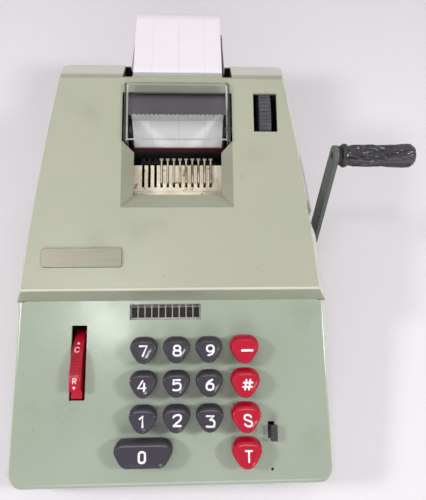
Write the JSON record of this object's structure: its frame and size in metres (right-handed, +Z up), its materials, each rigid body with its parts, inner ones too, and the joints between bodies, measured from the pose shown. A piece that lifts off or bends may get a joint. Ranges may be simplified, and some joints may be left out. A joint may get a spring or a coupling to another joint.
{
  "type": "adding machine",
  "caption": "Desk-top printing adding machine with a sloping ten-key panel, red function keys, a print window, a paper roll on rear arms and a side crank.",
  "frame": {"origin": "middle of the machine's bounding box, crank grip and paper roll included, at the height of the surface that the rubber feet stand on", "axes": "+X to the operator's right, +Y to the rear, +Z up"},
  "size_m": [0.2375, 0.309, 0.1284],
  "materials": {
    "base_pan": "satin",
    "rubber": "matte",
    "screw": "satin",
    "panel_paint": "eggshell",
    "hood_paint": "eggshell",
    "frame_steel": "satin",
    "shaft_steel": "polished",
    "digit_cap": "gloss",
    "red_cap": "gloss",
    "clear": "clear",
    "white_plastic": "satin",
    "dark_strip": "matte",
    "black_metal": "satin",
    "black_plastic": "satin",
    "arm_paint": "satin",
    "grip": "worn gloss",
    "brass": "worn",
    "badge": "brushed",
    "comb": "aged",
    "register_metal": "satin",
    "platen": "matte",
    "paper": "matte",
    "ribbon": "matte",
    "wheel": "satin"
  },
  "bodies": {
    "base": {"base_pan": "base_pan", "rubber_feet": "rubber", "cover_screws": "screw", "keyboard_cover": "panel_paint", "rear_hood": "hood_paint", "badge_plate": "badge", "left_frame": "frame_steel", "right_frame": "frame_steel", "tie_rods": "shaft_steel", "carriage_rails": "shaft_steel", "key_frame": "frame_steel", "indicator_lens": "clear", "indicator_bars": "white_plastic", "rocker_bracket": "frame_steel", "type_shaft": "shaft_steel", "type_comb": "comb", "paper_strip": "paper", "roll_spindle": "shaft_steel", "roll_arms": "black_metal", "paper_guide": "frame_steel", "clear_cover": "clear", "tear_bar": "black_metal", "ribbon_deck": "frame_steel", "ribbon": "ribbon"},
    "crank": {"main_shaft": "shaft_steel", "drive_cams": "frame_steel", "crank_hub": "arm_paint", "crank_arm": "arm_paint", "grip_spindle": "brass"},
    "grip": {"crank_grip": "grip"},
    "carriage": {"pin_carriage": "register_metal", "indicator_strip": "dark_strip"},
    "rocker_body": {"rocker": "red_cap"},
    "lever": {"slide_lever": "black_plastic"},
    "racks": {"actuator_racks": "frame_steel"},
    "register": {"register_wheels": "register_metal", "register_shaft": "shaft_steel"},
    "types": {"type_bars": "frame_steel"},
    "hooks": {"type_hooks": "shaft_steel"},
    "platen": {"platen_roller": "platen", "platen_shaft": "shaft_steel", "paper_wheel": "wheel"},
    "feed": {"feed_rollers": "platen"},
    "spool_left": {"ribbon_spool_left": "black_metal"},
    "spool_right": {"ribbon_spool_right": "black_metal"},
    "roll": {"paper_roll": "paper"},
    "key_7_body": {"key_7": "digit_cap"},
    "key_8_body": {"key_8": "digit_cap"},
    "key_9_body": {"key_9": "digit_cap"},
    "key_4_body": {"key_4": "digit_cap"},
    "key_5_body": {"key_5": "digit_cap"},
    "key_6_body": {"key_6": "digit_cap"},
    "key_1_body": {"key_1": "digit_cap"},
    "key_2_body": {"key_2": "digit_cap"},
    "key_3_body": {"key_3": "digit_cap"},
    "key_0_body": {"key_0": "digit_cap"},
    "key_minus_body": {"key_minus": "red_cap"},
    "key_nonadd_body": {"key_nonadd": "red_cap"},
    "key_subtotal_body": {"key_subtotal": "red_cap"},
    "key_total_body": {"key_total": "red_cap"}
  },
  "joints": [
    {"name": "key_7_press", "type": "slide", "parent": "base", "child": "key_7_body", "axis": [0, 0.225, -0.9744], "range_m": [0, 0.0038], "stiffness_N_per_m": 100, "springref_m": -0.005},
    {"name": "key_8_press", "type": "slide", "parent": "base", "child": "key_8_body", "axis": [0, 0.225, -0.9744], "range_m": [0, 0.0038], "stiffness_N_per_m": 100, "springref_m": -0.005},
    {"name": "key_9_press", "type": "slide", "parent": "base", "child": "key_9_body", "axis": [0, 0.225, -0.9744], "range_m": [0, 0.0038], "stiffness_N_per_m": 100, "springref_m": -0.005},
    {"name": "key_4_press", "type": "slide", "parent": "base", "child": "key_4_body", "axis": [0, 0.225, -0.9744], "range_m": [0, 0.0038], "stiffness_N_per_m": 100, "springref_m": -0.005},
    {"name": "key_5_press", "type": "slide", "parent": "base", "child": "key_5_body", "axis": [0, 0.225, -0.9744], "range_m": [0, 0.0038], "stiffness_N_per_m": 100, "springref_m": -0.005},
    {"name": "key_6_press", "type": "slide", "parent": "base", "child": "key_6_body", "axis": [0, 0.225, -0.9744], "range_m": [0, 0.0038], "stiffness_N_per_m": 100, "springref_m": -0.005},
    {"name": "key_1_press", "type": "slide", "parent": "base", "child": "key_1_body", "axis": [0, 0.225, -0.9744], "range_m": [0, 0.0038], "stiffness_N_per_m": 100, "springref_m": -0.005},
    {"name": "key_2_press", "type": "slide", "parent": "base", "child": "key_2_body", "axis": [0, 0.225, -0.9744], "range_m": [0, 0.0038], "stiffness_N_per_m": 100, "springref_m": -0.005},
    {"name": "key_3_press", "type": "slide", "parent": "base", "child": "key_3_body", "axis": [0, 0.225, -0.9744], "range_m": [0, 0.0038], "stiffness_N_per_m": 100, "springref_m": -0.005},
    {"name": "key_0_press", "type": "slide", "parent": "base", "child": "key_0_body", "axis": [0, 0.225, -0.9744], "range_m": [0, 0.0038], "stiffness_N_per_m": 100, "springref_m": -0.005},
    {"name": "key_minus_press", "type": "slide", "parent": "base", "child": "key_minus_body", "axis": [0, 0.225, -0.9744], "range_m": [0, 0.0038], "stiffness_N_per_m": 100, "springref_m": -0.005},
    {"name": "key_nonadd_press", "type": "slide", "parent": "base", "child": "key_nonadd_body", "axis": [0, 0.225, -0.9744], "range_m": [0, 0.0038], "stiffness_N_per_m": 100, "springref_m": -0.005},
    {"name": "key_subtotal_press", "type": "slide", "parent": "base", "child": "key_subtotal_body", "axis": [0, 0.225, -0.9744], "range_m": [0, 0.0038], "stiffness_N_per_m": 100, "springref_m": -0.005},
    {"name": "key_total_press", "type": "slide", "parent": "base", "child": "key_total_body", "axis": [0, 0.225, -0.9744], "range_m": [0, 0.0038], "stiffness_N_per_m": 100, "springref_m": -0.005},
    {"name": "crank_pull", "type": "hinge", "parent": "base", "child": "crank", "pos_m": [0.06985, -0.0035, 0.036], "axis": [1, 0, 0], "range_deg": [0, 95], "stiffness_Nm_per_rad": 0.3, "springref_deg": -17.19},
    {"name": "grip_spin", "type": "hinge", "parent": "crank", "child": "grip", "pos_m": [0.09525, 0.0198, 0.12117], "axis": [1, 0, 0], "continuous": true},
    {"name": "carriage_step", "type": "slide", "parent": "base", "child": "carriage", "axis": [-1, 0, 0], "range_m": [0, 0.033]},
    {"name": "rocker_tilt", "type": "hinge", "parent": "base", "child": "rocker_body", "pos_m": [-0.08065, -0.0917, 0.03512], "axis": [1, 0, 0], "range_deg": [-12, 1.5]},
    {"name": "lever_slide", "type": "slide", "parent": "base", "child": "lever", "axis": [0, 0.9744, 0.225], "range_m": [0, 0.0036]},
    {"name": "racks_slide", "type": "slide", "parent": "base", "child": "racks", "axis": [0, -1, 0], "range_m": [0, 0.022]},
    {"name": "register_spin", "type": "hinge", "parent": "base", "child": "register", "pos_m": [-0.02475, -0.0235, 0.0664], "axis": [-1, 0, 0], "range_deg": [0, 160]},
    {"name": "types_swing", "type": "hinge", "parent": "base", "child": "types", "pos_m": [-0.02475, 0.0225, 0.042], "axis": [-1, 0, 0], "range_deg": [0, 6]},
    {"name": "hooks_swing", "type": "hinge", "parent": "base", "child": "hooks", "pos_m": [-0.02475, 0.0225, 0.07], "axis": [1, 0, 0], "range_deg": [0, 4]},
    {"name": "platen_turn", "type": "hinge", "parent": "base", "child": "platen", "pos_m": [0.03285, 0.0617, 0.09], "axis": [-1, 0, 0], "continuous": true},
    {"name": "feed_turn", "type": "hinge", "parent": "base", "child": "feed", "pos_m": [-0.02155, 0.0497, 0.072], "axis": [-1, 0, 0], "continuous": true},
    {"name": "spool_left_turn", "type": "hinge", "parent": "base", "child": "spool_left", "pos_m": [-0.07155, 0.0095, 0.0885], "axis": [0, 0, 1], "continuous": true},
    {"name": "spool_right_turn", "type": "hinge", "parent": "base", "child": "spool_right", "pos_m": [0.02845, 0.0095, 0.0885], "axis": [0, 0, 1], "continuous": true},
    {"name": "roll_turn", "type": "hinge", "parent": "base", "child": "roll", "pos_m": [-0.02155, 0.13555, 0.097], "axis": [1, 0, 0], "continuous": true}
  ],
  "couplings": [
    {"joint": "types_swing", "follows": "crank_pull", "ratio": 0.063158},
    {"joint": "hooks_swing", "follows": "crank_pull", "ratio": 0.042105},
    {"joint": "racks_slide", "follows": "crank_pull", "m_per_rad": 0.0132},
    {"joint": "register_spin", "follows": "crank_pull", "ratio": 1.6},
    {"joint": "feed_turn", "follows": "platen_turn", "ratio": -3.2},
    {"joint": "spool_right_turn", "follows": "spool_left_turn", "ratio": 1}
  ]
}
